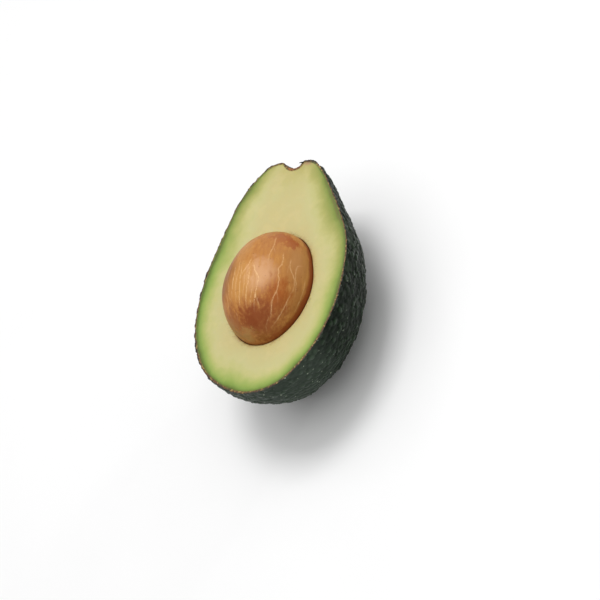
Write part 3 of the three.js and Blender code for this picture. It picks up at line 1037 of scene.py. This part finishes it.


# Papery coat: streaky brown from end to end, with soft darker, paler and redder patches, one of them a
# painted highlight, a dark foot that is painted shade where the seed sinks into its hollow, freckles and
# the pale strands. Its streaks and patches are placed on a seed of radius 1.
COAT_COLOURS = ((0.3, "ae6c34"), (0.5, "bc7e40"), (0.7, "c68d4c"))
COAT_BLOTCH_COLOUR = "b3713c"
COAT_BLOTCHES = (6.0, 0.5)
COAT_BLOTCH_STRENGTH = 0.3
STREAK_STRETCH = (9.0, 1.6, 9.0)
STREAK_SCALE = 1.6
FINE_STREAK_SCALE = 7.0
MOTTLE_PITCH = 3.6
NOISE_SPAN = (0.3, 0.7)
MOTTLE_WOBBLE = (-0.09, 0.09)
STREAK_WOBBLE = (-0.08, 0.08)
PATCH_CORE = 0.25
# Painted shade low on the seed, strongest on its right side, where it sinks into the hollow.
FOOT_SHADE_COLOUR = "883816"
FOOT_SHADE_WOBBLE = 0.12
FOOT_SHADE_HEIGHTS = (0.16, 0.07)
FOOT_SHADE_SIDES = (-0.1, 0.6, 0.25, 0.8)
FRECKLE_COLOUR = "6f3a18"
FRECKLE_PITCH = 1.3
FRECKLE_EDGE = (0.26, 0.12)
FRECKLE_STRENGTH = 0.4
FRECKLE_BLOTCHES = (3.0, 0.55)
STRAND_COLOUR = "f2c68f"
STRAND_STRENGTH = 0.9
COAT_ROUGHNESS = (0.40, 0.48)
# Each patch: its centre, its reach, its colour and its strength.
SEED_PATCHES = (
    ((-0.25, 0.42, 0.85), 0.40, "c89355", 0.45),
    ((0.20, 0.93, 0.30), 0.50, "a06634", 0.60),
    ((-0.12, -0.18, 0.96), 0.55, "d29a55", 0.60),
    # This pale pinkish patch is a painted highlight, spreading the lamp's soft highlight over the seed's
    # top.
    ((0.36, -0.13, 0.92), 0.45, "dcaa80", 0.65),
    ((0.88, 0.12, 0.40), 0.70, "b07a41", 0.75),
    ((0.80, -0.50, 0.25), 0.50, "a87039", 0.70),
    ((0.50, 0.64, 0.59), 0.30, "9c4017", 0.90),
    ((0.68, 0.58, 0.46), 0.24, "a04a1c", 0.85),
    ((0.42, 0.50, 0.74), 0.50, "b67c48", 0.60),
    ((-0.70, 0.08, 0.68), 0.62, "945b20", 0.85),
    ((-0.96, 0.10, 0.15), 0.55, "84460c", 0.85),
    ((0.60, -0.50, 0.62), 0.42, "a0511c", 0.75),
    ((0.20, -0.84, 0.50), 0.68, "98562e", 0.85),
    ((-0.40, -0.74, 0.53), 0.42, "9c5b2c", 0.75),
    ((0.18, -0.77, 0.61), 0.36, "88421f", 0.70),
    ((-0.06, -0.76, 0.65), 0.26, "8a431f", 0.55),
    ((-0.20, -0.94, 0.28), 0.24, "b5874c", 0.80),
    ((-0.54, -0.79, 0.29), 0.30, "ab7c44", 0.60),
    ((0.06, -0.98, 0.17), 0.22, "9a5f28", 0.75),
)


def spot_mask(tree, spot, centre, reach, wobble):
    """Mask of a soft patch on the seed: 1 in its core and 0 beyond its reach."""
    gap = add_node(tree, "VectorMath", {0: spot, 1: centre}, operation="DISTANCE").outputs["Value"]
    gap = math_node(tree, "ADD", gap, wobble)
    return fit(tree, gap, reach, reach * PATCH_CORE)


coat, tree, shader, place = new_material("seed_coat")
spot = mark(tree, "seed_spot", "Vector")
stretched = add_node(tree, "VectorMath", {0: spot, 1: STREAK_STRETCH}, operation="MULTIPLY")
streak_place = stretched.outputs["Vector"]
streak_look = {"Vector": streak_place, "Scale": STREAK_SCALE, "Detail": 5.0, "Roughness": 0.6}
streaks = add_node(tree, "TexNoise", streak_look).outputs["Fac"]
mottle = rough_noise(tree, place, MOTTLE_PITCH, 6.0, 0.65).outputs["Fac"]
mottle_wobble = fit(tree, mottle, *NOISE_SPAN, *MOTTLE_WOBBLE)
streak_wobble = fit(tree, streaks, *NOISE_SPAN, *STREAK_WOBBLE)
wobble = math_node(tree, "ADD", mottle_wobble, streak_wobble)
base = ramp(tree, streaks, COAT_COLOURS)
coat_blotches = blotched(tree, place, *COAT_BLOTCHES)
base = tint(tree, base, coat_blotches, COAT_BLOTCH_STRENGTH, COAT_BLOTCH_COLOUR)
for centre, reach, code, strength in SEED_PATCHES:
    base = tint(tree, base, spot_mask(tree, spot, centre, reach, wobble), strength, code)
spot_parts = add_node(tree, "SeparateXYZ", {"Vector": spot})
# The dark foot is painted shade low on the seed, where it sinks into the hollow.
foot_shade_wobble = times(tree, wobble, FOOT_SHADE_WOBBLE)
foot_shade_height = math_node(tree, "ADD", spot_parts.outputs["Z"], foot_shade_wobble)
foot_shade = fit(tree, foot_shade_height, *FOOT_SHADE_HEIGHTS)
foot_shade = times(tree, foot_shade, fit(tree, spot_parts.outputs["X"], *FOOT_SHADE_SIDES))
base = mix(tree, foot_shade, base, FOOT_SHADE_COLOUR)
freckle_cells = scattered_cells(tree, place, FRECKLE_PITCH)
freckles = fit(tree, freckle_cells.outputs["Distance"], *FRECKLE_EDGE)
freckles = times(tree, freckles, FRECKLE_STRENGTH)
freckles = times(tree, freckles, blotched(tree, place, *FRECKLE_BLOTCHES))
base = mix(tree, freckles, base, FRECKLE_COLOUR)
base = tint(tree, base, mark(tree, "strand"), STRAND_STRENGTH, STRAND_COLOUR)
feed(tree, shader, {
    "Base Color": base,
    "Roughness": fit(tree, mottle, *NOISE_SPAN, *COAT_ROUGHNESS),
    "Specular IOR Level": 0.22,
    "Specular Tint": (1.0, 0.82, 0.64, 1.0),
})
fine_look = {"Vector": streak_place, "Scale": FINE_STREAK_SCALE, "Detail": 4.0, "Roughness": 0.6}
fine = add_node(tree, "TexNoise", fine_look)
add_bumps(tree, shader, fine.outputs["Fac"], 0.2, 0.1)
seed_piece.data.materials.append(coat)
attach(seed_piece, "root")
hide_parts("seed")

# ---- Table, light and camera ----------------------------------------------------------------
# The half lies on a wide white table, under two large soft lamps and a small one. The camera looks
# down on the cut face from the blunt end's right, and leans so that the fruit's stem end points up.

TABLE_HALF_WIDTH = 3.0
TABLE_COLOURS = ((0.3, "fcfcfc"), (0.7, "fefefe"))
TABLE_PITCH = 60.0
table_mesh = bpy.data.meshes.new("table")
corners = [(x * TABLE_HALF_WIDTH, y * TABLE_HALF_WIDTH, 0) for x, y in ((-1, -1), (1, -1), (1, 1), (-1, 1))]
table_mesh.from_pydata(corners, [], [(0, 1, 2, 3)])
table = bpy.data.objects.new("table", table_mesh)
bpy.context.scene.collection.objects.link(table)
table_top, tree, shader, place = new_material("table_top")
shade = rough_noise(tree, place, TABLE_PITCH, 3.0)
feed(tree, shader, {
    "Base Color": ramp(tree, shade.outputs["Fac"], TABLE_COLOURS),
    "Roughness": 0.25,
    "Specular IOR Level": 0.3,
})
table_mesh.materials.append(table_top)

CAMERA_AIM = (16.41, 37.69)
CAMERA_DISTANCE = 1175.1
CAMERA_AZIMUTH = math.radians(48.884)
CAMERA_ELEVATION = math.radians(40.924)
CAMERA_ROLL = math.radians(-49.785)
CAMERA_LENS = 187.35
CAMERA_SIGHT = 20
# Lamps: direction from the fruit, as right, up and back in the camera's sense, then distance and size in
# metres, and power in watts.
LAMPS = (
    ("key", (-0.505, 0.706, 0.499), 1.0, 0.42, 3.9),
    ("overhead", (-0.577, 0.488, 0.655), 1.4, 2.2, 10.0),
    ("edge", (0.55, 0.83, 0.04), 0.8, 0.05, 0.7),
)
ROOM_LIGHT = 0.44
back = Vector((
    math.cos(CAMERA_ELEVATION) * math.sin(CAMERA_AZIMUTH),
    -math.cos(CAMERA_ELEVATION) * math.cos(CAMERA_AZIMUTH),
    math.sin(CAMERA_ELEVATION),
))
level_right = Vector((math.cos(CAMERA_AZIMUTH), math.sin(CAMERA_AZIMUTH), 0))
level_up = back.cross(level_right)
right = math.cos(CAMERA_ROLL) * level_right + math.sin(CAMERA_ROLL) * level_up
up = back.cross(right)
aim = Vector(fruit_place + np.array([*CAMERA_AIM, 0])) * MM
camera_data = bpy.data.cameras.new("camera")
camera_data.lens = CAMERA_LENS
camera_data.clip_end = CAMERA_SIGHT
camera = bpy.data.objects.new("camera", camera_data)
bpy.context.scene.collection.objects.link(camera)
turned = Matrix((right, up, back)).transposed().to_4x4()
camera.matrix_world = Matrix.Translation(aim + back * CAMERA_DISTANCE * MM) @ turned
bpy.context.scene.camera = camera


def add_lamp(name, toward, distance, size, power):
    """A square lamp that faces the fruit from this direction."""
    way = (right * toward[0] + up * toward[1] + back * toward[2]).normalized()
    data = bpy.data.lights.new(name, "AREA")
    data.size = size
    data.energy = power
    lamp = bpy.data.objects.new(name, data)
    bpy.context.scene.collection.objects.link(lamp)
    facing = way.to_track_quat("Z", "Y").to_matrix().to_4x4()
    lamp.matrix_world = Matrix.Translation(aim + way * distance) @ facing


for lamp in LAMPS:
    add_lamp(*lamp)
world = bpy.data.worlds.new("room")
world.use_nodes = True
background = world.node_tree.nodes["Background"]
feed(world.node_tree, background, {"Color": (1, 1, 1, 1), "Strength": ROOM_LIGHT})
bpy.context.scene.world = world
bpy.context.scene.view_settings.view_transform = "Standard"
